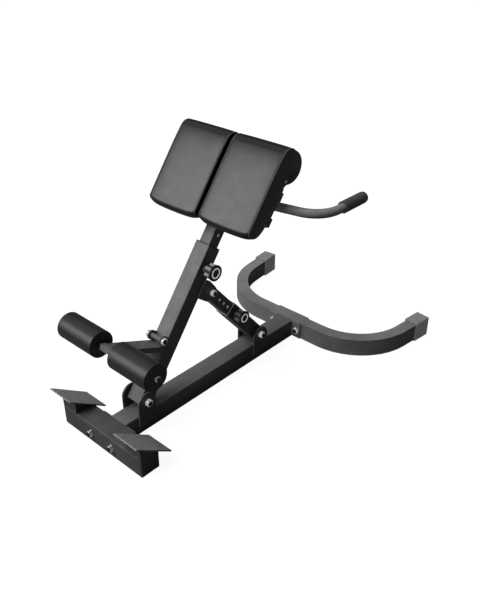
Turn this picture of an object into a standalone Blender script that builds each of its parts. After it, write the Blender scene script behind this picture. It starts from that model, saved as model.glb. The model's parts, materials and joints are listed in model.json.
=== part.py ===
"""Roman chair (45 degree back extension bench) as an assembly of separate parts.

Sizes below are in millimetres; the scene is in metres, +Z up.  +Y runs from the
foot plates to the head side, +X is the user's right, the origin is on the floor
under the middle of the bench.
"""
import math
import bpy
import bmesh
from mathutils import Matrix, Vector

for _ob in list(bpy.data.objects):
    bpy.data.objects.remove(_ob, do_unlink=True)

MM = 0.001
GAP = 0.3                       # standing gap between parts that touch

# ------------------------------------------------------------ driving sizes
TUBE = 60.0                     # main beam and crossbar, square
WALL = 3.0
Y0 = -531.67                    # front face of the crossbar
BAR_LEN = 319.0
WING_Y = 765.7                  # front face of the rear flange wings
U_Y = 771.6                     # front face of the rear foot
U_WIDE, U_Z0, U_Z1 = 40.0, 3.0, 61.0
U_HALF, U_RAD, U_BEND, U_TAIL = 127.5, 194.8, 1.462, 116.0

POST_ANG = 0.643                # lean of the post from vertical
POST_FOOT = 44.5                # where its front face would meet the floor
POST = 50.0
POST_S = (120.0, 588.0)         # tube ends, measured up the front face
INNER = 38.0
INNER_S = (380.0, 800.0)
HINGE = (137.6, 97.4)           # post hinge bolt (y, z)
PIN_S = 527.0                   # height pin, up the post
HOLE_PITCH = 48.0

STRUT_TOP = (399.0, 326.5)
STRUT_LOW = (602.0, 91.0)
STRUT_PITCH = 25.0
STRUT_LEN = math.hypot(STRUT_LOW[0] - STRUT_TOP[0], STRUT_LOW[1] - STRUT_TOP[1])
STRUT_ANG = math.atan2(STRUT_LOW[0] - STRUT_TOP[0], STRUT_TOP[1] - STRUT_LOW[1])

AXLE = (59.9, 292.0)
ROLLER_R, ROLLER_X = 37.6, (34.5, 173.6)
ARM_SLOPE = math.atan(0.427)

HANDLE_Z, HANDLE_X, HANDLE_R = 577.0, 277.0, 12.7
PAD_X = (8.0, 184.5)

SU = (math.sin(POST_ANG), math.cos(POST_ANG))      # up the post (y, z)
ST = (math.cos(POST_ANG), -math.sin(POST_ANG))     # off its front face, rearwards


def post_coords(y, z):
    """(t, s) of a side view point."""
    dy = y - POST_FOOT
    return dy * ST[0] + z * ST[1], dy * SU[0] + z * SU[1]


HINGE_T, HINGE_S = post_coords(*HINGE)
TOP_T, TOP_S = post_coords(*STRUT_TOP)
AXLE_T, AXLE_S = post_coords(*AXLE)

# ------------------------------------------------------------ scene, looks
COL = bpy.data.collections.new('roman_chair')
CUT = bpy.data.collections.new('cutters')
bpy.context.scene.collection.children.link(COL)
bpy.context.scene.collection.children.link(CUT)


def material(name, colour, rough, metal):
    m = bpy.data.materials.new(name)
    m.use_nodes = True
    b = m.node_tree.nodes['Principled BSDF']
    b.inputs['Base Color'].default_value = (*colour, 1.0)
    b.inputs['Roughness'].default_value = rough
    b.inputs['Metallic'].default_value = metal
    m.diffuse_color = (*colour, 1.0)
    return m


PAINT = material('black_paint', (0.075, 0.075, 0.078), 0.45, 0.0)
ZINC = material('zinc', (0.75, 0.75, 0.76), 0.25, 1.0)
PLASTIC = material('black_plastic', (0.03, 0.03, 0.03), 0.4, 0.0)
RUBBER = material('grey_rubber', (0.05, 0.05, 0.05), 0.75, 0.0)
VINYL = material('vinyl', (0.035, 0.035, 0.037), 0.42, 0.0)
FOAM = material('foam_sleeve', (0.04, 0.04, 0.042), 0.5, 0.0)
BOARD = material('board', (0.16, 0.11, 0.07), 0.8, 0.0)


def link(name, data, parent=None, loc=(0, 0, 0), rot=(0, 0, 0), mat=None, cutter=False):
    ob = bpy.data.objects.new(name, data)
    (CUT if cutter else COL).objects.link(ob)
    ob.parent = parent
    ob.location = [c * MM for c in loc]
    ob.rotation_euler = rot
    if mat is not None and data is not None:
        data.materials.append(mat)
    if cutter:
        ob.hide_render = True
        ob.display_type = 'WIRE'
    return ob


def empty(name, parent=None, loc=(0, 0, 0), rot=(0, 0, 0)):
    e = link(name, None, parent, loc, rot)
    e.empty_display_size = 0.05
    return e


AIM = {'X': Matrix.Rotation(math.pi / 2, 4, 'Y'), 'Y': Matrix.Rotation(-math.pi / 2, 4, 'X'), 'Z': Matrix.Identity(4)}


def box(name, size, loc, parent=None, rot=(0, 0, 0), mat=PAINT, cutter=False):
    bm = bmesh.new()
    bmesh.ops.create_cube(bm, size=1.0, matrix=Matrix.Diagonal([c * MM for c in size] + [1.0]))
    me = bpy.data.meshes.new(name)
    bm.to_mesh(me)
    bm.free()
    return link(name, me, parent, loc, rot, mat, cutter)


def rod(name, r, length, loc, axis='X', seg=24, parent=None, rot=(0, 0, 0), mat=PAINT, cutter=False, r2=None):
    bm = bmesh.new()
    bmesh.ops.create_cone(bm, cap_ends=True, segments=seg, radius1=r * MM, radius2=(r if r2 is None else r2) * MM,
                          depth=length * MM, matrix=AIM[axis])
    me = bpy.data.meshes.new(name)
    bm.to_mesh(me)
    bm.free()
    ob = link(name, me, parent, loc, rot, mat, cutter)
    if seg > 8 and not cutter:
        me.shade_smooth()
        me.set_sharp_from_angle(angle=math.radians(35))
    return ob


def square_tube(name, wide, deep, length, wall, loc, axis='Z', parent=None, rot=(0, 0, 0), mat=PAINT):
    """Box without its two ends, thickened inwards by the wall."""
    size = {'Z': (wide, deep, length), 'Y': (wide, length, deep), 'X': (length, wide, deep)}[axis]
    k = 'XYZ'.index(axis)
    ob = box(name, size, loc, parent, rot, mat)
    bm = bmesh.new()
    bm.from_mesh(ob.data)
    ends = [f for f in bm.faces if abs(f.normal[k]) > 0.9]
    bmesh.ops.delete(bm, geom=ends, context='FACES_ONLY')
    bm.to_mesh(ob.data)
    bm.free()
    s = ob.modifiers.new('wall', 'SOLIDIFY')
    s.thickness = wall * MM
    s.offset = -1.0
    s.use_even_offset = True
    return ob


def turned(name, profile, loc, axis='X', seg=32, parent=None, mat=PAINT, closed=False, flip=False):
    """Screw of a profile of (radius, height); it runs down the outer side."""
    me = bpy.data.meshes.new(name)
    n = len(profile)
    edges = [(i, i + 1) for i in range(n - 1)] + ([(n - 1, 0)] if closed else [])
    me.from_pydata([(r * MM, 0.0, h * MM) for r, h in profile], edges, [])
    rot = {'X': (0, math.pi / 2, 0), '-X': (0, -math.pi / 2, 0), 'Y': (-math.pi / 2, 0, 0), 'Z': (0, 0, 0)}[axis]
    ob = link(name, me, parent, loc, rot, mat)
    s = ob.modifiers.new('turn', 'SCREW')
    s.axis = 'Z'
    s.steps = s.render_steps = seg
    s.use_merge_vertices = True
    s.merge_threshold = 0.00002
    s.use_smooth_shade = True
    return ob


SIDE = (math.pi / 2, 0.0, math.pi / 2)     # curve plane stood up: x to rear, y up


def outline(name, pts, thick, loc, parent=None, rot=SIDE, mat=PAINT, round_edge=0.0):
    """Flat outline as a filled 2D curve, thickened about its plane."""
    cu = bpy.data.curves.new(name, 'CURVE')
    cu.dimensions = '2D'
    cu.fill_mode = 'BOTH'
    cu.extrude = (thick / 2 - round_edge) * MM
    cu.bevel_depth = round_edge * MM
    cu.offset = -round_edge * MM
    cu.bevel_resolution = 1
    cu.resolution_u = 1
    cu.render_resolution_u = 0
    sp = cu.splines.new('POLY')
    sp.points.add(len(pts) - 1)
    for p, (x, y) in zip(sp.points, pts):
        p.co = (x * MM, y * MM, 0.0, 1.0)
    sp.use_cyclic_u = True
    return as_mesh(link(name, cu, parent, loc, rot, mat))


def as_mesh(ob, cutter=False):
    """Turn a curve object into a welded mesh object in the same place."""
    bpy.context.view_layer.update()
    dg = bpy.context.evaluated_depsgraph_get()
    me = bpy.data.meshes.new_from_object(ob.evaluated_get(dg))
    bm = bmesh.new()
    bm.from_mesh(me)
    bmesh.ops.remove_doubles(bm, verts=bm.verts, dist=0.00002)
    bmesh.ops.recalc_face_normals(bm, faces=bm.faces)
    bm.to_mesh(me)
    bm.free()
    name, parent, loc, rot = ob.name, ob.parent, ob.location.copy(), ob.rotation_euler.copy()
    data = ob.data
    bpy.data.objects.remove(ob, do_unlink=True)
    bpy.data.curves.remove(data)
    me.name = name
    new = bpy.data.objects.new(name, me)
    (CUT if cutter else COL).objects.link(new)
    new.parent = parent
    new.location = loc
    new.rotation_euler = rot
    if cutter:
        new.hide_render = True
        new.display_type = 'WIRE'
    return new


def boolean(ob, tool, op='DIFFERENCE'):
    m = ob.modifiers.new(op.lower(), 'BOOLEAN')
    m.operation = op
    m.solver = 'EXACT'
    m.object = tool
    return ob


def drill(ob, r, length, loc, axis='X', parent=None, seg=20):
    return boolean(ob, rod('cut_' + ob.name, r, length, loc, axis, seg, parent, cutter=True))


def arc(cx, cy, r, a0, a1, n):
    return [(cx + r * math.cos(math.radians(a0 + (a1 - a0) * i / n)),
             cy + r * math.sin(math.radians(a0 + (a1 - a0) * i / n))) for i in range(n + 1)]


def head_plate(r, drop, n=14):
    """Straight sided plate with a round head about its origin."""
    return [(-r, -drop), (r, -drop)] + arc(0.0, 0.0, r, 0.0, 180.0, n)


def bolt(name, r, clamp, af, loc, axis, parent=None, head=6.5, nut=8.0):
    """Hexagon bolt, washers and nut as one solid; loc is the middle of the clamp."""
    k = 'XYZ'.index(axis.strip('-'))
    sgn = -1.0 if axis.startswith('-') else 1.0

    def at(d):
        p = list(loc)
        p[k] += sgn * d
        return p
    a = axis.strip('-')
    w = 1.6
    shank = rod(name, r, clamp + nut + 5.0, at((nut + 4.0) / 2), a, 20, parent, mat=ZINC)
    for part, rr, ln, d, sg in (
            ('head', af / math.sqrt(3), head, -clamp / 2 - w - head / 2, 6),
            ('nut', af / math.sqrt(3), nut, clamp / 2 + w + nut / 2, 6),
            ('w1', af * 0.62, w + 0.2, -clamp / 2 - w / 2 - 0.1, 24),
            ('w2', af * 0.62, w + 0.2, clamp / 2 + w / 2 + 0.1, 24)):
        boolean(shank, rod(name + '_' + part, rr, ln, at(d), a, sg, parent, cutter=True), 'UNION')
    return shank


SIDES = (('l', -1.0), ('r', 1.0))
BASE = empty('base_frame', loc=(0.0, Y0, 0.0))

# ------------------------------------------------------------ front foot
crossbar = square_tube('crossbar', TUBE, TUBE, BAR_LEN, WALL, (0, TUBE / 2, TUBE / 2), 'X', BASE)
BOLT_X, BOLT_Z = 43.5, 30.0
WING_IN, WING_OUT = TUBE / 2 + GAP, 64.5      # flange wings either side of the beam
for tag, s in SIDES:
    wing = box('front_flange_' + tag, (WING_OUT - WING_IN, 5.3, 51), (s * (WING_IN + WING_OUT) / 2, TUBE + GAP + 2.65, 29.5), BASE)
    drill(crossbar, 5.4, TUBE + 10, (s * BOLT_X, TUBE / 2, BOLT_Z), 'Y', BASE)
    drill(wing, 5.4, 20, (s * BOLT_X, TUBE + 3, BOLT_Z), 'Y', BASE)
    bolt('crossbar_bolt_' + tag, 5.0, TUBE + 6.2, 17.0, (s * BOLT_X, (TUBE + 5.6) / 2, BOLT_Z), 'Y', BASE, 8.2)
    plug = box('crossbar_plug_' + tag, (2.7, TUBE - 1.2, TUBE - 1.2), (s * (BAR_LEN / 2 + GAP + 1.35), TUBE / 2, TUBE / 2), BASE, mat=PLASTIC)
    boolean(plug, box('plug_spigot', (12.5, 53.2, 53.2), (s * (BAR_LEN / 2 - 5.75), TUBE / 2, TUBE / 2), BASE, cutter=True), 'UNION')

# foot plates slope down to the rear over triangular risers
FOOT_F, FOOT_B, FOOT_T = (-21.5, 122.5), (89.7, 45.5), 4.0
foot_ang = math.atan2(FOOT_B[1] - FOOT_F[1], FOOT_B[0] - FOOT_F[0])
foot_len = math.hypot(FOOT_B[0] - FOOT_F[0], FOOT_B[1] - FOOT_F[1])
nrm = (-math.sin(foot_ang), math.cos(foot_ang))
mid = ((FOOT_F[0] + FOOT_B[0]) / 2 - nrm[0] * FOOT_T / 2, (FOOT_F[1] + FOOT_B[1]) / 2 - nrm[1] * FOOT_T / 2)


def under_plate(y):
    qy, qz = FOOT_F[0] - nrm[0] * (FOOT_T + GAP), FOOT_F[1] - nrm[1] * (FOOT_T + GAP)
    return qz + (y - qy) * math.tan(foot_ang)


rise_z = TUBE + GAP
rise_y = min(0.2 - (under_plate(0.2) - rise_z) / math.tan(foot_ang) - 1.0, TUBE + 8.0)
for tag, s in SIDES:
    box('foot_plate_' + tag, (89.4, foot_len, FOOT_T), (s * 135.3, mid[0], mid[1]), BASE, rot=(foot_ang, 0, 0))
    riser = outline('foot_riser_' + tag, [(0.2, rise_z), (rise_y, rise_z), (rise_y, under_plate(rise_y)), (0.2, under_plate(0.2))],
                    58.3, (s * 133.15, 0, 0), BASE)
    core = outline('riser_core', [(3.2, rise_z - 3), (rise_y - 9, rise_z - 3), (3.2, under_plate(3.2) - 4.5)], 52.0, (s * 133.15, 0, 0), BASE)
    COL.objects.unlink(core)
    CUT.objects.link(core)
    core.hide_render = True
    core.display_type = 'WIRE'
    boolean(riser, core)

# ------------------------------------------------------------ main beam
b0, b1 = TUBE + GAP, U_Y - GAP
square_tube('main_beam', TUBE, TUBE, b1 - b0, WALL, (0, (b1 + b0) / 2, TUBE / 2), 'Y', BASE)
for tag, s in SIDES:
    x = s * (TUBE / 2 + GAP + 2.5)
    clevis = outline('front_clevis_' + tag, head_plate(30.5, 69.0), 5.0, (x, 136.6, 95.0), BASE)
    drill(clevis, 6.4, 30, (x, *HINGE), 'X', BASE)
    ear = outline('strut_ear_' + tag, head_plate(30.5, 61.0), 5.0, (x, 604.5, 83.0), BASE)
    drill(ear, 6.4, 30, (x, *STRUT_LOW), 'X', BASE)
bolt('front_pivot_bolt', 6.0, 71.2, 17.0, (0, *HINGE), '-X', BASE, 10.5, 10.5)
bolt('strut_pivot_bolt', 6.0, 71.2, 17.0, (0, *STRUT_LOW), '-X', BASE, 10.5, 10.5)
box('strut_base_plate', (59.4, 61.0, 2.9), (0, 604.5, TUBE + GAP + 1.45), BASE)

# ------------------------------------------------------------ rear foot
U_MID = U_Y + U_WIDE / 2


def u_point(q):
    """Centre line of the rear foot at distance q from the middle, right side."""
    if q <= U_HALF:
        return q, U_MID
    a = min((q - U_HALF) / U_RAD, U_BEND)
    x = U_HALF + U_RAD * math.sin(a)
    y = U_MID + U_RAD * (1.0 - math.cos(a))
    r = max(q - U_HALF - U_RAD * U_BEND, 0.0)
    return x + r * math.cos(U_BEND), y + r * math.sin(U_BEND)


def bent_bar(name, stations, wide, high, zc, parent, mat, cutter=False):
    """Rectangular bar swept along plan stations [(x, y), ...]."""
    prof = bpy.data.curves.new(name + '_section', 'CURVE')
    prof.dimensions = '2D'
    prof.fill_mode = 'NONE'
    sp = prof.splines.new('POLY')
    sp.points.add(3)
    for p, (a, b) in zip(sp.points, ((-1, -1), (1, -1), (1, 1), (-1, 1))):
        p.co = (a * wide / 2 * MM, b * high / 2 * MM, 0, 1)
    sp.use_cyclic_u = True
    prof.render_resolution_u = 0
    po = link(name + '_section', prof, cutter=True)
    cu = bpy.data.curves.new(name, 'CURVE')
    cu.dimensions = '3D'
    cu.twist_mode = 'Z_UP'
    cu.bevel_mode = 'OBJECT'
    cu.bevel_object = po
    cu.use_fill_caps = True
    cu.render_resolution_u = 0
    sp = cu.splines.new('POLY')
    sp.points.add(len(stations) - 1)
    for p, (x, y) in zip(sp.points, stations):
        p.co = (x * MM, y * MM, zc * MM, 1)
    ob = as_mesh(link(name, cu, parent, mat=mat), cutter)
    bpy.data.objects.remove(po, do_unlink=True)
    return ob


NARC = 14
u_len = U_HALF + U_RAD * U_BEND + U_TAIL
half = [u_point(U_HALF + U_RAD * U_BEND * i / NARC) for i in range(NARC + 1)]
tip = u_point(u_len)
far = u_point(u_len + 10.0)


def both(run):
    return [(-x, y) for x, y in reversed(run)] + run


u_foot = bent_bar('u_foot', both(half + [tip]), U_WIDE, U_Z1 - U_Z0, (U_Z0 + U_Z1) / 2, BASE, PAINT)
boolean(u_foot, bent_bar('u_bore', both(half + [far]), U_WIDE - 6, U_Z1 - U_Z0 - 6, (U_Z0 + U_Z1) / 2, BASE, None, True))
RB_X, RB_Z = 49.5, 31.0
backing = box('rear_backing_plate', (124, 4.7, 53), (0, U_Y + U_WIDE + GAP + 2.35, 34.5), BASE)
for tag, s in SIDES:
    drill(u_foot, 5.4, U_WIDE + 10, (s * RB_X, U_MID, RB_Z), 'Y', BASE)
    wing = box('rear_flange_' + tag, (WING_OUT - WING_IN, 5.3, 56), (s * (WING_IN + WING_OUT) / 2, (WING_Y + U_Y) / 2, 32.0), BASE)
    drill(wing, 5.4, 20, (s * RB_X, (WING_Y + U_Y) / 2, RB_Z), 'Y', BASE)
    drill(backing, 5.4, 20, (s * RB_X, U_Y + U_WIDE + 2, RB_Z), 'Y', BASE)
    clamp = U_Y + U_WIDE + 5.0 + GAP - WING_Y
    bolt('rear_bolt_' + tag, 5.0, clamp, 17.0, (s * RB_X, WING_Y + clamp / 2, RB_Z), 'Y', BASE)
    # square rubber cap over the tube end
    yaw = U_BEND - math.pi / 2 if s > 0 else math.pi / 2 - U_BEND
    cx, cy = u_point(u_len - 29.0)
    cap = box('end_cap_' + tag, (48, 66, 66), (s * cx, cy, 33), BASE, rot=(0, 0, yaw), mat=RUBBER)
    kx, ky = u_point(u_len - 35.0)
    boolean(cap, box('cap_bore', (U_WIDE + 2 * GAP, 70 + 2 * GAP, U_Z1 - U_Z0 + 2 * GAP), (s * kx, ky, (U_Z0 + U_Z1) / 2), BASE,
                     rot=(0, 0, yaw), cutter=True))

# ------------------------------------------------------------ post, on its hinge
POST_E = empty('post_hinge', BASE, (0, *HINGE), (-POST_ANG, 0, 0))
OT, OS = -HINGE_T, -HINGE_S


def pt(x, t, s):
    """Post coordinates to the hinge empty's own."""
    return x, t + OT, s + OS


PC = POST / 2
outer = square_tube('outer_post', POST, POST, POST_S[1] - POST_S[0], WALL, pt(0, PC, sum(POST_S) / 2), 'Z', POST_E)
drill(outer, 6.4, 70, (0, 0, 0), 'X', POST_E)
drill(outer, 5.2, 20, pt(25, PC, PIN_S), 'X', POST_E)
bush = square_tube('post_bushing', 43.4, 43.4, 34.0, 2.3, pt(0, PC, 573.0), 'Z', POST_E, mat=PLASTIC)
collar = box('bushing_collar', (49.2, 49.2, 2.7), pt(0, PC, POST_S[1] + GAP + 1.35), POST_E, cutter=True)
boolean(bush, collar, 'UNION')
boolean(bush, box('bushing_bore', (38.8, 38.8, 60), pt(0, PC, 580), POST_E, cutter=True))
turned('height_barrel', [(11, 0), (11, -7), (9, -9), (9, -12), (5.2, -12), (5.2, 0)], pt(25 + GAP, PC, PIN_S), '-X', 24, POST_E, PAINT, True)


def knob(name, r, pin_r, x0, x1, x2, loc, parent):
    """Pull pin with a fluted grip; x0 pin tip, x1 back of the grip, x2 its face."""
    h = x2 - x1
    body = turned(name, [(0, x2), (r - 1.5, x2), (r, x2 - 1.5), (r, x2 - 6.5), (r * 0.86, x2 - 7.5), (r * 0.80, x1 + 3), (r * 0.68, x1),
                         (pin_r, x1), (pin_r, x0 + 1.5), (pin_r - 1.2, x0), (0, x0)], loc, 'X', 36, parent, PLASTIC)
    for i in range(6):
        a = math.radians(30 + 60 * i)
        d = r * 0.98
        p = (loc[0] + x1 + (h - 7.5) / 2 - 1.0, loc[1] + d * math.cos(a), loc[2] + d * math.sin(a))
        boolean(body, rod('flute', r * 0.26, h - 5.6, p, 'X', 12, parent, cutter=True))
    return body


knob('height_knob', 23.0, 4.8, 19.8, 38.0, 66.0, pt(0, PC, PIN_S), POST_E)

# bracket plates behind the post for the strut
lug = [(42, 444), (84, 444)] + arc(TOP_T, TOP_S, 19.0, -75.0, 70.0, 8) + [(62, 501), (42, 501)]
for tag, s in SIDES:
    x = s * (PC + GAP + 2.25)
    br = outline('strut_bracket_' + tag, [(t + OT, z + OS) for t, z in lug], 4.5, (x, 0, 0), POST_E)
    drill(br, 5.4, 20, pt(x, TOP_T, TOP_S), 'X', POST_E)
bolt('strut_top_bolt', 5.0, 60.2, 15.0, pt(0, TOP_T, TOP_S), '-X', POST_E, 10.0, 10.0)

# ------------------------------------------------------------ strut, on its lower bolt
STRUT_E = empty('strut_hinge', BASE, (0, *STRUT_LOW), (STRUT_ANG, 0, 0))
SL = STRUT_LEN
sleeve = square_tube('strut_sleeve', 45, 45, SL - 129 + 14, 2.6, (0, 0, (SL - 129 - 14) / 2), 'Z', STRUT_E)
drill(sleeve, 6.4, 60, (0, 0, 0), 'X', STRUT_E)
drill(sleeve, 5.2, 20, (22, 0, SL - 162), 'X', STRUT_E)
turned('strut_barrel', [(10, 0), (10, -6), (8.5, -8), (8.5, -10), (5.2, -10), (5.2, 0)], (22.5 + GAP, 0, SL - 162), '-X', 24, STRUT_E, PAINT, True)
knob('strut_knob', 19.0, 4.8, 20.0, 34.0, 58.0, (0, 0, SL - 162), STRUT_E)
bar = square_tube('strut_bar', 38.8, 38.8, 247, 2.5, (0, 0, SL - (232 - 15) / 2), 'Z', STRUT_E)
drill(bar, 6.4, 60, (0, 0, SL), 'X', STRUT_E)
for i in range(7):
    drill(bar, 5.3, 20, (18, 0, SL - 62 - STRUT_PITCH * i), 'X', STRUT_E)

# ------------------------------------------------------------ ankle arm and rollers
ARM_E = empty('roller_axis', POST_E, pt(0, AXLE_T, AXLE_S), (POST_ANG - ARM_SLOPE, 0, 0))
# in this frame -y points forward along the arm, +z off its top face
H = 7.9
lean = math.tan(POST_ANG - ARM_SLOPE)
reach = AXLE_T / -math.cos(POST_ANG - ARM_SLOPE)
arm = outline('ankle_arm', [(-13, -H), (reach - 0.5 - H * lean, -H), (reach - 0.5 + H * lean, H), (-13, H)], 50.0, (0, 0, 0), ARM_E)
boolean(arm, rod('arm_boss', 9.2, 50.0, (0, 0, 0), 'X', 28, ARM_E, cutter=True), 'UNION')
drill(arm, 5.9, 80, (0, 0, 0), 'X', ARM_E, 28)
turned('roller_axle', [(0, 183), (6.5, 183), (8, 181.5), (8, 178), (5.5, 178), (5.5, -178), (8, -178), (8, -181.5), (6.5, -183), (0, -183)],
       (0, 0, 0), 'X', 24, ARM_E, ZINC)
for tag, s in SIDES:
    r0, r1 = ROLLER_X
    turned('ankle_roller_' + tag, [(36.2, r1), (ROLLER_R, r1 - 1.6), (ROLLER_R, r0 + 1.6), (36.2, r0), (11.6, r0), (11.6, r1)],
           (0, 0, 0), 'X' if s > 0 else '-X', 40, ARM_E, FOAM, True)
    turned('roller_core_' + tag, [(34.5, r1 + GAP + 1.8), (34.5, r1 + GAP), (11.2, r1 + GAP), (11.2, r0 - 2.5), (5.9, r0 - 2.5), (5.9, r1 + GAP + 1.8)],
           (0, 0, 0), 'X' if s > 0 else '-X', 40, ARM_E, PLASTIC, True)

# two ears and a spacer on the post's front face, above the arm
EAR_S, EAR_T, EAR_R = 304.5, -15.0, 13.5
ear_pts = [(-GAP, EAR_S + EAR_R), (EAR_T, EAR_S + EAR_R)] + arc(EAR_T, EAR_S, EAR_R, 90, 270, 10)[1:] + [(-GAP, EAR_S - EAR_R)]
for tag, s in SIDES:
    x = s * 22.2
    e = outline('arm_ear_' + tag, [(t + OT, z + OS) for t, z in ear_pts], 5.2, (x, 0, 0), POST_E)
    drill(e, 5.4, 20, pt(x, EAR_T, EAR_S), 'X', POST_E)
turned('ear_spacer', [(7.5, 19.2), (7.5, -19.2), (5.3, -19.2), (5.3, 19.2)], pt(0, EAR_T, EAR_S), 'X', 24, POST_E, PAINT, True)
bolt('ear_bolt', 5.0, 50.2, 17.0, pt(0, EAR_T, EAR_S), '-X', POST_E)

# ------------------------------------------------------------ sliding post head
HEAD = empty('height_slide', POST_E, pt(0, PC, PIN_S))
HT, HS = -PC, -PIN_S
inner = square_tube('inner_post', INNER, INNER, INNER_S[1] - INNER_S[0], 2.5, (0, 0, sum(INNER_S) / 2 + HS), 'Z', HEAD)
for i in range(-2, 3):
    drill(inner, 5.3, 20, (18, 0, HOLE_PITCH * i), 'X', HEAD)
BARS = ((690.0, 715.0), (762.0, 787.0))
BT0, BT1 = -6.0, 19.0
for (s0, s1), nm in zip(BARS, ('pad_bar_lower', 'pad_bar_upper')):
    c = (0, (BT0 + BT1) / 2 + HT, (s0 + s1) / 2 + HS)
    boolean(inner, box('bar_notch', (60, 25 + 2 * GAP, 25 + 2 * GAP), c, HEAD, cutter=True))
    square_tube(nm, 25, 25, 336, 2.5, c, 'X', HEAD)
cap = box('inner_post_cap', (37, 37, 2.7), (0, 0, INNER_S[1] + GAP + 1.35 + HS), HEAD, mat=PLASTIC)
boolean(cap, box('cap_spigot', (32, 32, 9), (0, 0, INNER_S[1] - 3.5 + HS), HEAD, cutter=True), 'UNION')

# ------------------------------------------------------------ pads
PAD_T0, BOARD_T = -72.0, -15.3
pad = [(PAD_T0, 650), (PAD_T0, 863)]
pad += [(-43.0 - 29.0 * math.cos(math.radians(a)), 863.0 + 29.0 * math.sin(math.radians(a))) for a in (18, 36, 54, 72, 90)]
pad += [(-22.0 + 43.0 * math.sin(math.radians(a)), 849.0 + 43.0 * math.cos(math.radians(a))) for a in range(0, 127, 14)]
pad += [(4, 814), (-8, 806.5), (BOARD_T, 796), (BOARD_T, 730), (-17, 706), (-20, 686), (-24.5, 668), (-31, 652), (-38, 642.5),
        (-48, 637.5), (-59, 637.5), (-67, 641), (-70.7, 645)]
for tag, s in SIDES:
    xm, xw = s * sum(PAD_X) / 2, PAD_X[1] - PAD_X[0]
    outline('pad_' + tag, [(t + HT, z + HS) for t, z in pad], xw, (xm, 0, 0), HEAD, mat=VINYL, round_edge=3.0)
    box('pad_board_' + tag, (xw - 8, BT0 - BOARD_T - 2 * GAP, 108), (xm, (BT0 + BOARD_T) / 2 + HT, 740 + HS), HEAD, mat=BOARD)

# ------------------------------------------------------------ handles, level with the floor
slope = 0.2105
hy = 503.0
a0 = math.atan(slope)
turn = math.pi / 2 - a0
bend = 80.0
tl = bend * math.tan(turn / 2)
kx, ky = HANDLE_X, hy + (HANDLE_X - 19.3) * slope
pin_x, pin_y = kx - tl * math.cos(a0), ky - tl * math.sin(a0)
ccx, ccy = pin_x - bend * math.sin(a0), pin_y + bend * math.cos(a0)
run = [(19.4 + 4.5, hy + 4.5 * slope)] + [(ccx + bend * math.sin(a0 + turn * i / 9), ccy - bend * math.cos(a0 + turn * i / 9)) for i in range(10)] + [(HANDLE_X, 738.0)]
GRIP = empty('handle_level', HEAD, rot=(POST_ANG, 0, 0))
gy, gz = POST_FOOT + PIN_S * SU[0] + PC * ST[0], PIN_S * SU[1] + PC * ST[1]
for tag, s in SIDES:
    cu = bpy.data.curves.new('handle_' + tag, 'CURVE')
    cu.dimensions = '3D'
    cu.bevel_depth = HANDLE_R * MM
    cu.bevel_resolution = 6
    cu.use_fill_caps = True
    cu.render_resolution_u = 0
    sp = cu.splines.new('POLY')
    sp.points.add(len(run) - 1)
    for p, (x, y) in zip(sp.points, run):
        p.co = (s * x * MM, (y - gy) * MM, (HANDLE_Z - gz) * MM, 1)
    h = as_mesh(link('handle_' + tag, cu, GRIP, mat=PAINT))
    h.data.shade_smooth()
    # trimmed square to the side of the post
    boolean(h, box('handle_trim', (38.6, 60, 60), (0, hy - gy, HANDLE_Z - gz), GRIP, cutter=True))
    turned('grip_' + tag, [(0, 104.6), (6, 104), (11.5, 102), (15.2, 98), (16.6, 92), (16.6, 1.2), (15.6, 0), (13.0, 0), (13.0, 98.3), (0, 98.3)],
           (s * HANDLE_X, 640.0 - gy, HANDLE_Z - gz), 'Y', 28, GRIP, RUBBER)
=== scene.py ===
import json
import math
import bpy
import bmesh
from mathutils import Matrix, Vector


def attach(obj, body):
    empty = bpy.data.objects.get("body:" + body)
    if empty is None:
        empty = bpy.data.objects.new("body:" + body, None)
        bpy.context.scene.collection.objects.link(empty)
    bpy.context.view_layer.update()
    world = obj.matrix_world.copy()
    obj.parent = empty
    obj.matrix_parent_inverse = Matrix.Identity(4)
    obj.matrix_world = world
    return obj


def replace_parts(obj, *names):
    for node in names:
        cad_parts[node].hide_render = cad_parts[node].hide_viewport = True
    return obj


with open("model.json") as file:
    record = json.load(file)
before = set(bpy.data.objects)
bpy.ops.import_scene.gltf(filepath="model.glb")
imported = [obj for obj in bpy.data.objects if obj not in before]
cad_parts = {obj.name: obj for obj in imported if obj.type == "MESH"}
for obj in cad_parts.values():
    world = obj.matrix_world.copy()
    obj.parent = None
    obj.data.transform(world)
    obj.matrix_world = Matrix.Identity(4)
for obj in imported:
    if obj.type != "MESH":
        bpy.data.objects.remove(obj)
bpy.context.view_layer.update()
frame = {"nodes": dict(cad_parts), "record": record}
NODES = frame["nodes"]
BODY_OF = {n: b for b, ns in frame["record"]["behaviour"]["bodies"].items() for n in ns}

# ---------------------------------------------------------------- the design's own frame (metres)
Y0 = -0.53167                                          # front face of the crossbar
ANG = 0.643                                            # lean of the post, in radians
SU = Vector((0.0, math.sin(ANG), math.cos(ANG)))       # up the post
ST = Vector((0.0, math.cos(ANG), -math.sin(ANG)))      # rearwards off its front face
POST_O = Vector((0.0, Y0 + 0.0445, 0.0))
TOP = Vector((0.0, Y0 + 0.399, 0.3265))
LOW = Vector((0.0, Y0 + 0.602, 0.091))
HINGE = Vector((0.0, Y0 + 0.1376, 0.0974))
AXLE = Vector((0.0, Y0 + 0.0599, 0.292))
UK = (LOW - TOP).normalized()
UN = Vector((0.0, -UK.z, UK.y))
PX = Vector((1.0, 0.0, 0.0))
X_AXIS = (1, 0, 0)
FRONT = (0, -1, 0)
SIDES = (("l", -1.0), ("r", 1.0))


def st(s, t, x=0.0):
    """A point s mm up the post, t mm behind its front face and x mm to the side."""
    return POST_O + SU * (s / 1000) + ST * (t / 1000) + Vector((x / 1000, 0, 0))


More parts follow.
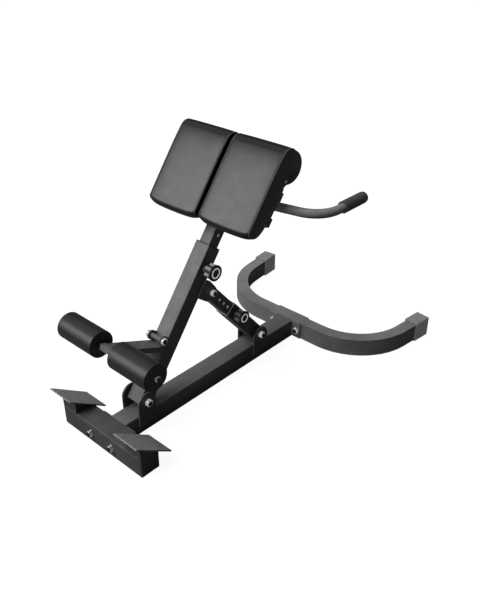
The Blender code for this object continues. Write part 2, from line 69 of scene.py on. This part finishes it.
def base(x, y, z):
    """A point of the floor frame in millimetres, y measured from the crossbar's front."""
    return Vector((x / 1000, Y0 + y / 1000, z / 1000))


# ---------------------------------------------------------------- node helpers
class Mat:
    """A Principled material built node by node."""

    def __init__(self, name, color, rough, metal=0.0, spec=0.5):
        self.m = bpy.data.materials.new(name)
        self.m.use_nodes = True
        self.nt = self.m.node_tree
        self.b = self.nt.nodes["Principled BSDF"]
        self.b.inputs["Base Color"].default_value = (*color, 1)
        self.b.inputs["Roughness"].default_value = rough
        self.b.inputs["Metallic"].default_value = metal
        self.b.inputs["Specular IOR Level"].default_value = spec
        self.color = color
        self.tc = self.nt.nodes.new("ShaderNodeTexCoord")
        self.height = None

    def node(self, kind, **kw):
        n = self.nt.nodes.new(kind)
        for k, v in kw.items():
            setattr(n, k, v)
        return n

    def link(self, a, b):
        self.nt.links.new(a, b)

    def noise(self, scale, detail=3.0, rough=0.55, stretch=None):
        n = self.node("ShaderNodeTexNoise")
        n.inputs["Scale"].default_value = scale
        n.inputs["Detail"].default_value = detail
        n.inputs["Roughness"].default_value = rough
        if stretch:
            mp = self.node("ShaderNodeMapping")
            mp.inputs["Scale"].default_value = stretch
            self.link(self.tc.outputs["Object"], mp.inputs["Vector"])
            self.link(mp.outputs["Vector"], n.inputs["Vector"])
        else:
            self.link(self.tc.outputs["Object"], n.inputs["Vector"])
        return n.outputs["Fac"]

    def ramp(self, fac, stops):
        r = self.node("ShaderNodeValToRGB")
        el = r.color_ramp.elements
        while len(el) < len(stops):
            el.new(0.5)
        for e, (p, c) in zip(el, stops):
            e.position = p
            e.color = (*c, 1)
        self.link(fac, r.inputs["Fac"])
        return r.outputs["Color"]

    def vary_color(self, scale, amount):
        c = self.color
        lo = tuple(max(0.0, k * (1 - amount)) for k in c)
        hi = tuple(min(1.0, k * (1 + amount)) for k in c)
        color = self.ramp(self.noise(scale, 4.0), [(0.3, lo), (0.7, hi)])
        self.link(color, self.b.inputs["Base Color"])
        return self

    def vary_rough(self, scale, lo, hi):
        mr = self.node("ShaderNodeMapRange")
        mr.inputs["From Min"].default_value = 0.3
        mr.inputs["From Max"].default_value = 0.7
        mr.inputs["To Min"].default_value = lo
        mr.inputs["To Max"].default_value = hi
        self.link(self.noise(scale), mr.inputs["Value"])
        self.link(mr.outputs["Result"], self.b.inputs["Roughness"])
        return self

    def bump(self, fac, strength, distance):
        n = self.node("ShaderNodeBump")
        n.inputs["Strength"].default_value = strength
        n.inputs["Distance"].default_value = distance
        self.link(fac, n.inputs["Height"])
        if self.height is not None:
            self.link(self.height, n.inputs["Normal"])
        self.height = n.outputs["Normal"]
        self.link(self.height, self.b.inputs["Normal"])
        return self


def paint_mat(name, color, rough, peel=0.25, grain=900.0):
    m = Mat(name, color, rough, spec=0.45)
    m.vary_color(14.0, 0.16)
    m.vary_rough(60.0, rough - 0.05, rough + 0.07)
    m.bump(m.noise(grain, 2.0), peel, 0.0004)
    m.bump(m.noise(160.0, 2.0), 0.10, 0.0006)
    return m.m


# one powder coat, in shades set so that each part matches the photo in this light: painted light and shade, darker on
# the front crossbar and risers, lighter on the beam, the rear foot and its plates, and the tubes
PAINT = paint_mat("powder_coat", (0.050, 0.050, 0.051), 0.42)
PAINT_CROSS_SHADED = paint_mat("powder_coat_front_painted_shade", (0.030, 0.030, 0.031), 0.44)
PAINT_BEAM_LIT = paint_mat("powder_coat_beam_painted_light", (0.062, 0.062, 0.063), 0.42)
PAINT_REAR_LIT = paint_mat("powder_coat_rear_painted_light", (0.088, 0.088, 0.089), 0.42)
PAINT_TUBE_LIT = paint_mat("powder_coat_tube_painted_light", (0.110, 0.110, 0.112), 0.27, 0.08, 1000.0)


def foot_mat():
    """Coarse anti-slip coating: two sizes of grit over the powder coat."""
    m = Mat("anti_slip_coat", (0.080, 0.080, 0.082), 0.60, spec=0.4)
    v = m.node("ShaderNodeTexVoronoi")
    v.inputs["Scale"].default_value = 330.0
    m.link(m.tc.outputs["Object"], v.inputs["Vector"])
    speckle = m.ramp(m.noise(420.0, 4.0, 0.7), [(0.38, (0.028, 0.028, 0.029)), (0.60, (0.17, 0.17, 0.172))])
    m.link(speckle, m.b.inputs["Base Color"])
    m.bump(m.ramp(v.outputs["Distance"], [(0.0, (1, 1, 1)), (0.55, (0, 0, 0))]), 0.7, 0.0006)
    m.bump(m.noise(1100.0, 3.0), 0.4, 0.0003)
    return m.m


PAINT_FOOT = foot_mat()


def steel_mat(name="zinc_plate", painted_glow=0.0):
    m = Mat(name, (0.90, 0.90, 0.91), 0.22, metal=1.0)
    # emission stands in for light: a painted glow of the given strength
    m.b.inputs["Emission Color"].default_value = (1, 1, 1, 1)
    m.b.inputs["Emission Strength"].default_value = painted_glow
    m.vary_color(120.0, 0.08)
    m.vary_rough(400.0, 0.18, 0.28)
    m.bump(m.noise(1400.0, 2.0), 0.05, 0.0002)
    return m.m


ZINC = steel_mat()
# zinc that glows: a painted glint, strong on the bolt collars and faint on the crossbar bolts and axle ends
ZINC_PAINTED_GLINT = steel_mat("zinc_painted_glint", 0.30)
ZINC_FAINT_GLOW = steel_mat("zinc_faint_painted_glow", 0.05)


def plastic_mat(name, color, rough, grain=1300.0, strength=0.2, painted_glow=0.0):
    m = Mat(name, color, rough, spec=0.4)
    m.b.inputs["Emission Color"].default_value = (1, 1, 1, 1)
    m.b.inputs["Emission Strength"].default_value = painted_glow    # painted glow: the surface gives off even light of this strength, matched to the photo
    m.vary_color(40.0, 0.12)
    m.vary_rough(90.0, rough - 0.05, rough + 0.06)
    m.bump(m.noise(grain, 2.0), strength, 0.0003)
    return m.m


PLASTIC = plastic_mat("moulded_plastic", (0.006, 0.006, 0.0065), 0.46)
PLUG = plastic_mat("plug_plastic", (0.036, 0.036, 0.037), 0.44)
# ridges drawn far lighter than the grip they stand on: a painted highlight
KNOB_RIDGE_LIT = plastic_mat("knob_ridge_painted_light", (0.110, 0.110, 0.112), 0.34, 1500.0, 0.12)
KNOB_FACE = plastic_mat("knob_face", (0.006, 0.006, 0.006), 0.40, 1500.0, 0.10)
# hole rims: light grey with a faint glow, painted light for the lit walls inside the holes
RIM_PAINTED_LIGHT = plastic_mat("hole_rim_painted_light", (0.45, 0.45, 0.46), 0.45, 1200.0, 0.1, 0.04)
# sleeve mouth: lighter than the coat and faintly glowing, a painted highlight on the sawn end
EDGE_PAINTED_LIGHT = plastic_mat("sawn_edge_painted_highlight", (0.20, 0.20, 0.205), 0.45, 1200.0, 0.2, 0.03)
# white print on the knob, with a painted glow that lights it on its shaded side
RING_GLOWING = plastic_mat("knob_ring_painted_glow", (0.86, 0.86, 0.86), 0.40, 1500.0, 0.08, 0.22)
# end-cap rubber glows faintly: painted light on its shaded sides
RUBBER_GLOWING = plastic_mat("cap_rubber", (0.070, 0.070, 0.071), 0.60, 900.0, 0.35, 0.055)
GRIP = plastic_mat("grip_rubber", (0.034, 0.034, 0.035), 0.55, 1000.0, 0.5)


def vinyl_mat():
    m = Mat("upholstery_vinyl", (0.0045, 0.0045, 0.0047), 0.30, spec=0.55)
    m.vary_color(9.0, 0.10)
    m.vary_rough(30.0, 0.27, 0.32)
    v = m.node("ShaderNodeTexVoronoi", feature="DISTANCE_TO_EDGE")
    v.inputs["Scale"].default_value = 620.0
    m.link(m.tc.outputs["Object"], v.inputs["Vector"])
    m.bump(m.ramp(v.outputs["Distance"], [(0.0, (0, 0, 0)), (0.16, (1, 1, 1))]), 0.035, 0.00025)
    m.bump(m.noise(1800.0, 2.0), 0.02, 0.0002)
    return m.m


VINYL = vinyl_mat()
# piping drawn ten times lighter than the vinyl: a painted highlight along the pads' edges
PIPING_PAINTED_HIGHLIGHT = Mat("pad_piping_painted_highlight", (0.050, 0.050, 0.051), 0.30, spec=0.6)
PIPING_PAINTED_HIGHLIGHT = PIPING_PAINTED_HIGHLIGHT.vary_color(60.0, 0.10).bump(PIPING_PAINTED_HIGHLIGHT.noise(1500.0, 2.0), 0.05, 0.0002).m


def foam_mat():
    m = Mat("foam_sleeve", (0.009, 0.009, 0.0095), 0.38, spec=0.5)
    m.vary_color(30.0, 0.10)
    m.bump(m.noise(900.0, 3.0), 0.30, 0.0004)
    return m.m


FOAM = foam_mat()


def board_mat():
    m = Mat("stained_plywood", (0.030, 0.026, 0.022), 0.75)
    veneer = m.ramp(m.noise(30.0, 5.0, 0.6, (1, 1, 18)), [(0.3, (0.022, 0.019, 0.016)), (0.7, (0.046, 0.040, 0.034))])
    m.link(veneer, m.b.inputs["Base Color"])
    m.bump(m.noise(220.0, 3.0), 0.3, 0.0005)
    return m.m


BOARD = board_mat()


# ---------------------------------------------------------------- mesh helpers
SMOOTH_ANGLE = 35.0      # degrees: creases flatter than this are shaded smooth
EDGE_ANGLE = 32.0        # CAD edges sharper than this are rounded
TUBE_EDGE = 0.05         # a tube's long edges are longer than this


def new_obj(name, bm, mat, smooth=True, angle=SMOOTH_ANGLE):
    me = bpy.data.meshes.new(name)
    bm.to_mesh(me)
    bm.free()
    ob = bpy.data.objects.new(name, me)
    bpy.context.scene.collection.objects.link(ob)
    me.materials.append(mat)
    if smooth:
        me.shade_smooth()
        me.set_sharp_from_angle(angle=math.radians(angle))
    return ob


def is_long_edge(e, axis):
    """A sharp edge that runs the length of a tube."""
    return (len(e.link_faces) == 2 and e.calc_face_angle(0) > math.radians(60)
            and abs((e.verts[1].co - e.verts[0].co).normalized().dot(axis)) > 0.995
            and e.calc_length() > TUBE_EDGE)


def refine(node, mat, width, segments=2, along=None):
    """The CAD node's own shape with its edges rounded; along= keeps a tube's sawn ends crisp."""
    bm = bmesh.new()
    bm.from_mesh(NODES[node].data)
    bmesh.ops.remove_doubles(bm, verts=bm.verts, dist=0.00002)
    bmesh.ops.dissolve_limit(bm, angle_limit=math.radians(1.5), verts=bm.verts, edges=bm.edges)
    if along is not None:
        axis = Vector(along).normalized()
        picked = [e for e in bm.edges if is_long_edge(e, axis)]
        bmesh.ops.bevel(bm, geom=picked, offset=width, segments=segments + 1, profile=0.5,
                        affect="EDGES", clamp_overlap=True)
    ob = new_obj(node + "_finish", bm, mat, angle=EDGE_ANGLE)
    if along is None:
        mod = ob.modifiers.new("edge", "BEVEL")
        mod.width = width
        mod.segments = segments
        mod.limit_method = "ANGLE"
        mod.angle_limit = math.radians(EDGE_ANGLE)
        mod.use_clamp_overlap = True
        mod.harden_normals = False
        mod.miter_outer = "MITER_ARC"
    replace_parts(ob, node)
    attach(ob, BODY_OF[node])


def revolve(bm, profile, origin, axis, seg):
    """Adds a turned surface: profile is (distance along axis, radius)."""
    ax = Vector(axis).normalized()
    ref = Vector((0, 0, 1)) if abs(ax.z) < 0.9 else Vector((1, 0, 0))
    e1 = ax.cross(ref).normalized()
    e2 = ax.cross(e1).normalized()
    turn = [2 * math.pi * k / seg for k in range(seg)]
    rows = []
    for d, r in profile:
        if r < 1e-7:                     # a point on the axis
            rows.append([bm.verts.new(origin + ax * d)])
            continue
        rows.append([bm.verts.new(origin + ax * d + e1 * r * math.cos(a) + e2 * r * math.sin(a)) for a in turn])
    for p, q in zip(rows[:-1], rows[1:]):
        if len(p) == 1 and len(q) == 1:
            continue
        for k in range(seg):
            j = (k + 1) % seg
            if len(p) == 1:
                corners = (p[0], q[k], q[j])
            elif len(q) == 1:
                corners = (p[k], q[0], p[j])
            else:
                corners = (p[k], q[k], q[j], p[j])
            bm.faces.new(corners).smooth = True


def turned(name, profile, centre, axis, seg, mat, body, angle=SMOOTH_ANGLE):
    """One turned piece that rides on a body."""
    bm = bmesh.new()
    revolve(bm, profile, centre, axis, seg)
    bmesh.ops.recalc_face_normals(bm, faces=bm.faces)
    ob = new_obj(name, bm, mat, angle=angle)
    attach(ob, body)
    return ob


def bead_loop(bm, pts, r, seg):
    """Adds a round bead along a closed line of points."""
    n = len(pts)
    rows = []
    prev = None
    for i, p in enumerate(pts):
        d = (pts[(i + 1) % n] - pts[(i - 1) % n]).normalized()
        if prev is None:
            ref = Vector((1, 0, 0)) if abs(d.x) < 0.8 else Vector((0, 0, 1))
            e1 = d.cross(ref).normalized()
        else:
            e1 = (prev - d * prev.dot(d)).normalized()
        prev = e1
        e2 = d.cross(e1).normalized()
        turn = [2 * math.pi * k / seg for k in range(seg)]
        rows.append([bm.verts.new(p + (e1 * math.cos(a) + e2 * math.sin(a)) * r) for a in turn])
    for p, q in zip(rows, rows[1:] + rows[:1]):
        for k in range(seg):
            j = (k + 1) % seg
            bm.faces.new((p[k], q[k], q[j], p[j])).smooth = True
    bmesh.ops.recalc_face_normals(bm, faces=bm.faces)


# ---------------------------------------------------------------- steelwork
THIN, PLATE = 0.0005, 0.0006      # rounding of plate edges
# each part takes its own shade of the one powder coat: painted light and shade
for node, width, axis, paint in (
        ("crossbar", 0.0018, X_AXIS, PAINT_CROSS_SHADED), ("main_beam", 0.0020, (0, 1, 0), PAINT_BEAM_LIT),
        ("outer_post", 0.0020, SU, PAINT), ("inner_post", 0.0014, SU, PAINT),
        ("strut_sleeve", 0.0014, UK, PAINT), ("strut_bar", 0.0012, UK, PAINT),
        ("pad_bar_lower", 0.0016, X_AXIS, PAINT), ("pad_bar_upper", 0.0016, X_AXIS, PAINT)):
    refine(node, paint, width, along=axis)
for node, width in (
        ("ankle_arm", 0.0012), ("front_flange_l", THIN), ("front_flange_r", THIN),
        ("front_clevis_l", THIN), ("front_clevis_r", THIN), ("strut_ear_l", THIN), ("strut_ear_r", THIN),
        ("strut_base_plate", PLATE), ("strut_bracket_l", THIN), ("strut_bracket_r", THIN),
        ("arm_ear_l", THIN), ("arm_ear_r", THIN), ("ear_spacer", THIN),
        ("height_barrel", PLATE), ("strut_barrel", PLATE)):
    refine(node, PAINT, width)
for node, width in (("rear_flange_l", THIN), ("rear_flange_r", THIN), ("rear_backing_plate", 0.0007)):
    refine(node, PAINT_REAR_LIT, width)
refine("u_foot", PAINT_REAR_LIT, 0.0026, 3)
for tag in "lr":
    refine("handle_" + tag, PAINT_TUBE_LIT, 0.0004)
    refine("foot_plate_" + tag, PAINT_FOOT, 0.0007)
    refine("foot_riser_" + tag, PAINT_CROSS_SHADED, 0.0003)
    refine("crossbar_plug_" + tag, PLUG, 0.0004)
    refine("end_cap_" + tag, RUBBER_GLOWING, 0.0030, 3)
    refine("pad_board_" + tag, BOARD, 0.0008)
    refine("grip_" + tag, GRIP, 0.0006)
    refine("roller_core_" + tag, PLASTIC, 0.0006)
    refine("crossbar_bolt_" + tag, ZINC, THIN)
    refine("rear_bolt_" + tag, ZINC, THIN)
for node in ("front_pivot_bolt", "strut_pivot_bolt", "strut_top_bolt", "ear_bolt", "roller_axle"):
    refine(node, ZINC, THIN)
refine("post_bushing", PLASTIC, 0.0006)
refine("inner_post_cap", PLASTIC, 0.0006)


# ---------------------------------------------------------------- bolt ends
COLLAR_R = 0.0100
CLEAR = 0.0002                    # a collar stands this far past the CAD head or nut


# collars default to the glowing zinc: a painted glint
def bolt_end(node, centre, axis, r, length, tag, mat=ZINC_PAINTED_GLINT):
    """Round plated collar with a black insert, drawn over the hexagon at one end of a CAD bolt."""
    collar = [(0.0, r * 0.98), (0.0004, r), (length - 0.0022, r), (length - 0.0010, r * 0.93),
              (length, r * 0.82), (length + 0.0001, r * 0.70)]
    insert = [(length - 0.0004, r * 0.80), (length + 0.0004, r * 0.76), (length + 0.0004, r * 0.34),
              (length + 0.0012, r * 0.30), (length + 0.0012, 0.0)]
    turned("%s_collar_%s" % (node, tag), collar, centre, axis, 40, mat, BODY_OF[node])
    turned("%s_insert_%s" % (node, tag), insert, centre, axis, 32, PLASTIC, BODY_OF[node])


# node, centre, half of what the bolt clamps, collar radius, head and nut height
for node, centre, half, r, head, nut in (
        ("front_pivot_bolt", HINGE, 0.0372, COLLAR_R, 0.0105, 0.0105),
        ("strut_pivot_bolt", LOW, 0.0372, COLLAR_R, 0.0105, 0.0105),
        ("strut_top_bolt", TOP, 0.0317, 0.0089, 0.0100, 0.0100),
        ("ear_bolt", st(304.5, -15.0), 0.0267, COLLAR_R, 0.0065, 0.0080)):
    bolt_end(node, centre + PX * half, PX, r, head + CLEAR, "a")
    bolt_end(node, centre - PX * half, -PX, r, nut + CLEAR, "b")
for tag, s in SIDES:
    bolt_end("roller_axle", AXLE + PX * s * 0.1782, PX * s, 0.0080, 0.0052, tag, ZINC_FAINT_GLOW)
    bolt_end("crossbar_bolt_" + tag, base(s * 43.5, -1.9, 30.0), FRONT, COLLAR_R, 0.0084, "a", ZINC_FAINT_GLOW)
    bolt_end("rear_bolt_" + tag, base(s * 49.5, 764.1, 31.0), FRONT, COLLAR_R, 0.0067, "a")


# ---------------------------------------------------------------- pull knobs
RIDGES, FIRST_RIDGE = 6, 12       # number of finger ridges, and the angle of the first in degrees
KNOB_ANGLE = 40


def knob(node, centre, r, x1, x2, pin_r, x0):
    """Pull knob from x1 to x2 on a pin that starts at x0: ridged grip with ridges drawn lighter than the grip
    (painted highlight), sunk face, white ring with a painted glow.
    """
    body = BODY_OF[node]
    h = x2 - x1
    pin = [(x0, 0.0), (x0, pin_r - 0.001), (x0 + 0.001, pin_r), (x1, pin_r)]
    grip = [(x1, 0.0), (x1, r * 0.58), (x1 + 0.001, r * 0.66), (x1 + h * 0.5, r * 0.72),
            (x2 - 0.0072, r * 0.76), (x2 - 0.0066, r * 0.98), (x2 - 0.0055, r),
            (x2 - 0.0016, r), (x2 - 0.0005, r * 0.975), (x2, r * 0.93), (x2 - 0.0002, r * 0.86)]
    q = r * 0.22
    ridge = [(x1 + 0.0006, 0.0), (x1 + 0.0008, q * 0.45), (x1 + 0.002, q * 0.85), (x1 + 0.004, q),
             (x2 - 0.0062, q * 1.04), (x2 - 0.0060, 0.0)]
    face = [(x2 - 0.0003, r * 0.87), (x2 - 0.0010, r * 0.84), (x2 - 0.0010, r * 0.68), (x2 - 0.0010, 0.0)]
    ring = [(x2 - 0.0011, r * 0.50), (x2, r * 0.52), (x2, r * 0.66), (x2 - 0.0011, r * 0.68)]
    turned(node + "_pin", pin, centre, X_AXIS, 72, ZINC, body, KNOB_ANGLE)
    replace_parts(turned(node + "_grip", grip, centre, X_AXIS, 72, KNOB_FACE, body, KNOB_ANGLE), node)
    bm = bmesh.new()
    for k in range(RIDGES):
        a = math.radians(360 / RIDGES * k + FIRST_RIDGE)
        revolve(bm, ridge, centre + Vector((0, math.cos(a), math.sin(a))) * r * 0.74, X_AXIS, 20)
    bmesh.ops.recalc_face_normals(bm, faces=bm.faces)
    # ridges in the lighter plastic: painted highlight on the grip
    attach(new_obj(node + "_ridges", bm, KNOB_RIDGE_LIT, angle=KNOB_ANGLE), body)
    turned(node + "_face", face, centre, X_AXIS, 48, KNOB_FACE, body)
    turned(node + "_ring", ring, centre, X_AXIS, 48, RING_GLOWING, body)


HEIGHT_PIN = 527                  # the height pin's place up the post, mm
knob("height_knob", st(HEIGHT_PIN, 25, 0), 0.0232, 0.038, 0.066, 0.0048, 0.0198)
knob("strut_knob", TOP + UK * 0.162, 0.0210, 0.030, 0.058, 0.0048, 0.020)


# ---------------------------------------------------------------- mouth of the strut's sleeve
def extent(node, origin, axis):
    """Lowest and highest reach of a node along an axis from origin."""
    m = NODES[node].matrix_world
    v = [((m @ p.co) - origin).dot(axis) for p in NODES[node].data.vertices]
    return min(v), max(v)


def strip(name, body, quads, mat):
    """A thin skin over a ring of quads."""
    bm = bmesh.new()
    for q in quads:
        bm.faces.new([bm.verts.new(p) for p in q])
    bmesh.ops.remove_doubles(bm, verts=bm.verts, dist=1e-6)
    bmesh.ops.recalc_face_normals(bm, faces=bm.faces)
    ob = new_obj(name, bm, mat, False)
    mod = ob.modifiers.new("skin", "SOLIDIFY")
    mod.thickness = 0.0006
    mod.offset = 0.0
    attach(ob, body)


PROUD, WALL = 0.0003, 0.0030      # how far the sawn edge stands out, and how wide it is
k0 = extent("strut_sleeve", TOP, UK)[0]
hx = extent("strut_sleeve", TOP, PX)[1] + PROUD
n0, n1 = extent("strut_sleeve", TOP, UN)
ix, i0, i1 = hx - WALL, n0 + 0.0027, n1 - 0.0027
MOUTH = TOP + UK * (k0 - PROUD)
outer = [MOUTH + PX * a + UN * b for a, b in
         ((-hx, n0 - PROUD), (hx, n0 - PROUD), (hx, n1 + PROUD), (-hx, n1 + PROUD))]
inner = [MOUTH + PX * a + UN * b for a, b in ((-ix, i0), (ix, i0), (ix, i1), (-ix, i1))]
quads = [(outer[k], outer[(k + 1) % 4], inner[(k + 1) % 4], inner[k]) for k in range(4)]
# the mouth's skin is drawn light and glowing: a painted highlight along the sawn end
strip("strut_sleeve_mouth", BODY_OF["strut_sleeve"], quads, EDGE_PAINTED_LIGHT)

# light rims of the adjusting holes, x metres to the side: light grey and faintly glowing, painted light that stands
# in for the lit walls inside the holes
for node, body, pts, x in (
        ("strut_bar", "strut_inner", [TOP + UK * (0.062 + 0.025 * k) for k in range(3)], 0.0194),
        ("inner_post", "head", [st(HEIGHT_PIN + 48.0 * 2, 25, 0)], 0.0190)):
    rim = [(x - 0.0022, 0.0), (x - 0.0020, 0.0034), (x - 0.0006, 0.0038), (x + 0.0003, 0.0042),
           (x + 0.0003, 0.0045), (x - 0.0012, 0.0045)]
    for k, c in enumerate(pts):
        turned("%s_hole_rim_%d" % (node, k), rim, c, X_AXIS, 24, RIM_PAINTED_LIGHT, body)

# ---------------------------------------------------------------- pads
PAD_T0 = -72.0            # the flat front, mm from the post's front face
PAD_IN, PAD_OUT = 8.0, 184.5
SEAM = 1.1                # piping sits this far in from the side


def pad_outline():
    """Side view of a pad, (t, s) in millimetres: flat front, rolled top, lip under the roll."""
    pts = [(PAD_T0, v) for v in (651, 654, 660, 672, 690, 720, 750, 780, 810, 840, 863)]
    for a in range(9, 91, 9):                        # front edge of the roll
        a = math.radians(a)
        pts.append((-43.0 - 29.0 * math.cos(a), 863.0 + 29.0 * math.sin(a)))
    for a in range(0, 127, 7):                       # over the top and down its back
        a = math.radians(a)
        pts.append((-22.0 + 43.0 * math.sin(a), 849.0 + 43.0 * math.cos(a)))
    pts += [(8.5, 818.5), (4, 814), (-2, 809.5), (-8, 806), (-12.5, 801.5), (-15.3, 794),
            (-15.4, 770), (-15.6, 745), (-16.2, 725), (-17.2, 706)]
    pts += [(-18.6, 694), (-20.4, 682), (-23, 671), (-26.6, 661), (-30.5, 652.5), (-35.5, 645),
            (-42, 639.6), (-49, 637.4), (-56, 637.0), (-62, 638.2), (-66.6, 640.7), (-69.8, 644.2),
            (-71.5, 647.8)]
    return [Vector(p) for p in pts]


PROF = pad_outline()
NP = len(PROF)
NRM = []
for i in range(NP):
    d = (PROF[(i + 1) % NP] - PROF[(i - 1) % NP]).normalized()
    NRM.append(Vector((-d.y, d.x)))


def pad_point(i, x, inset, f):
    """A point of the skin: inset from the outline, swelled and bowed across the pad."""
    p, m = PROF[i], NRM[i]
    e = abs(2 * f - 1)
    q = p - m * inset
    front = max(0.0, min(1.0, (-p.x - 40) / 32))
    roll = max(0.0, min(1.0, (p.y - 800) / 60))
    q = q + m * (1.6 * (1 - e ** 4) * max(front, 0.6 * roll) - 0.4 * e ** 6)
    q = q - m * 3.2 * front * max(0.0, min(1.0, (p.y - 785) / 85)) ** 2
    low = max(0.0, min(1.0, (680 - p.y) / 38)) ** 2
    q = q + Vector((0, low * (6.0 * e ** 8 - 2.5 * (1 - e * e))))
    return st(q.y, q.x, x)


def make_pad(tag, x0, x1):
    """A closed skin lofted across the pad, its side edges rounded by R, with piping on both sides."""
    R = 3.6
    W = x1 - x0
    xs = []
    for k in range(6):
        a = math.radians(18 * k)
        xs.append((R * (1 - math.cos(a)), R * (1 - math.sin(a))))
    mid = [R + (W - 2 * R) * f
           for f in (0.03, 0.07, 0.12, 0.19, 0.28, 0.39, 0.5, 0.61, 0.72, 0.81, 0.88, 0.93, 0.97)]
    stx = list(xs) + [(x, 0.0) for x in mid] + [(W - x, o) for x, o in reversed(xs)]
    bm = bmesh.new()
    rows = [[bm.verts.new(pad_point(i, x0 + x, o, x / W)) for i in range(NP)] for x, o in stx]
    for p, q in zip(rows[:-1], rows[1:]):
        for k in range(NP):
            j = (k + 1) % NP
            bm.faces.new((p[k], q[k], q[j], p[j]))
    bm.faces.new(rows[0])
    bm.faces.new(list(reversed(rows[-1])))
    bmesh.ops.recalc_face_normals(bm, faces=bm.faces)
    ob = new_obj("hip_pad_" + tag, bm, VINYL, True, 50)
    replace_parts(ob, "pad_" + tag)
    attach(ob, "head")
    for k, (xe, f) in enumerate(((SEAM, SEAM / W), (W - SEAM, 1 - SEAM / W))):
        bm = bmesh.new()
        # light piping along each side seam: painted highlight
        bead_loop(bm, [pad_point(i, x0 + xe, 1.0, f) for i in range(NP)], 0.0017, 8)
        w = new_obj("pad_piping_%s_%d" % (tag, k + 1), bm, PIPING_PAINTED_HIGHLIGHT)
        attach(w, "head")


make_pad("l", -PAD_OUT, -PAD_IN)
make_pad("r", PAD_IN, PAD_OUT)
EYELET = [(-0.002, 0.0), (-0.0012, 0.0012), (0.0004, 0.0016), (0.0012, 0.0024), (0.0012, 0.0034),
          (0.0, 0.0042), (-0.002, 0.0042)]
for tag, s in SIDES:              # breather eyelet near the lip of the roll
    turned("pad_eyelet_" + tag, EYELET, st(811, -18, s * PAD_OUT), (s, 0, 0), 20, ZINC, "head")

# ---------------------------------------------------------------- rollers
r0, r1, R, E = 0.0345, 0.1736, 0.0376, 0.0018      # inner and outer end, radius, rounded edge
BORE = 0.0116
prof = [(r0, BORE), (r0, R - E)]
for a in range(15, 91, 15):
    a = math.radians(a)
    prof.append((r0 + E - E * math.cos(a), R - E + E * math.sin(a)))
prof += [(r0 + (r1 - r0) * f, R) for f in (0.2, 0.4, 0.6, 0.8)]
for a in range(0, 76, 15):
    a = math.radians(a)
    prof.append((r1 - E + E * math.sin(a), R - E + E * math.cos(a)))
prof += [(r1, R - E), (r1, BORE), (r0, BORE)]
for tag, s in SIDES:
    bm = bmesh.new()
    revolve(bm, prof, AXLE, (s, 0, 0), 64)
    bmesh.ops.remove_doubles(bm, verts=bm.verts, dist=1e-6)
    bmesh.ops.recalc_face_normals(bm, faces=bm.faces)
    ob = new_obj("foam_roller_" + tag, bm, FOAM)
    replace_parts(ob, "ankle_roller_" + tag)
    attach(ob, "roller_left" if s < 0 else "roller_right")

# ---------------------------------------------------------------- camera
CAM = Vector((1.2469, Y0 - 0.8127, 1.3315))
YAW, PITCH = -0.743, 0.54
FOCAL, FRAME_H, SENSOR = 714.6, 600.0, 36.0      # focal length and frame height in pixels, sensor in mm
cam = bpy.data.cameras.new("camera")
cam.sensor_fit = "VERTICAL"
cam.sensor_height = SENSOR
cam.lens = FOCAL * SENSOR / FRAME_H
co = bpy.data.objects.new("camera", cam)
bpy.context.scene.collection.objects.link(co)
fwd = Vector((math.sin(YAW) * math.cos(PITCH), math.cos(YAW) * math.cos(PITCH), -math.sin(PITCH)))
co.location = CAM
cam.shift_x, cam.shift_y = 0.00075, -0.00065
co.rotation_euler = fwd.to_track_quat("-Z", "Y").to_euler()
bpy.context.scene.camera = co

# ---------------------------------------------------------------- floor and light
bm = bmesh.new()
bmesh.ops.create_grid(bm, x_segments=1, y_segments=1, size=30.0)
fm = Mat("pale_floor", (0.07, 0.07, 0.07), 0.9, spec=0.0)
lp = fm.node("ShaderNodeLightPath")
em = fm.node("ShaderNodeEmission")
em.inputs["Color"].default_value = (1, 1, 1, 1)
em.inputs["Strength"].default_value = 0.93
add = fm.node("ShaderNodeAddShader")
mix = fm.node("ShaderNodeMixShader")
out = fm.nt.nodes["Material Output"]
fm.link(fm.b.outputs[0], add.inputs[0])
fm.link(em.outputs[0], add.inputs[1])
fm.link(lp.outputs["Is Camera Ray"], mix.inputs[0])
fm.link(fm.b.outputs[0], mix.inputs[1])
fm.link(add.outputs[0], mix.inputs[2])
fm.link(mix.outputs[0], out.inputs["Surface"])
floor = new_obj("floor", bm, fm.m, False)
floor.location = (0, 0, -0.0005)
floor.visible_shadow = False             # lets the sun from below the floor through

world = bpy.data.worlds.new("studio")
bpy.context.scene.world = world
world.use_nodes = True
wt = world.node_tree
dim = wt.nodes["Background"]
dim.inputs["Color"].default_value = (1, 1, 1, 1)
dim.inputs["Strength"].default_value = 0.07
backdrop = wt.nodes.new("ShaderNodeBackground")     # what the camera sees past the floor
backdrop.inputs["Color"].default_value = (1, 1, 1, 1)
backdrop.inputs["Strength"].default_value = 1.0
wl = wt.nodes.new("ShaderNodeLightPath")
wm = wt.nodes.new("ShaderNodeMixShader")
wt.links.new(wl.outputs["Is Camera Ray"], wm.inputs[0])
wt.links.new(dim.outputs[0], wm.inputs[1])
wt.links.new(backdrop.outputs[0], wm.inputs[2])
wt.links.new(wm.outputs[0], wt.nodes["World Output"].inputs["Surface"])


def sun(name, toward, power, angle, shadow=True):
    """A sun that shines from the direction toward, its disc angle degrees wide."""
    lamp = bpy.data.lights.new(name, "SUN")
    lamp.energy = power
    lamp.angle = math.radians(angle)
    lamp.use_shadow = shadow
    o = bpy.data.objects.new(name, lamp)
    bpy.context.scene.collection.objects.link(o)
    o.rotation_euler = (-Vector(toward)).to_track_quat("-Z", "Y").to_euler()
    return o


key = sun("key", (-0.26, -0.42, 0.87), 6.6, 50)
key.visible_glossy = False               # broad fill: colour only, no hot spots
sun("left_front", (-0.58, -0.67, 0.46), 1.15, 34, False)
sun("left_soft", (-0.62, -0.12, 0.77), 0.30, 70)
sun("low_front", (-0.60, -0.75, -0.22), 0.62, 50, False)      # from below the floor
bpy.context.scene.view_settings.view_transform = "Standard"
bpy.context.scene.view_settings.look = "None"
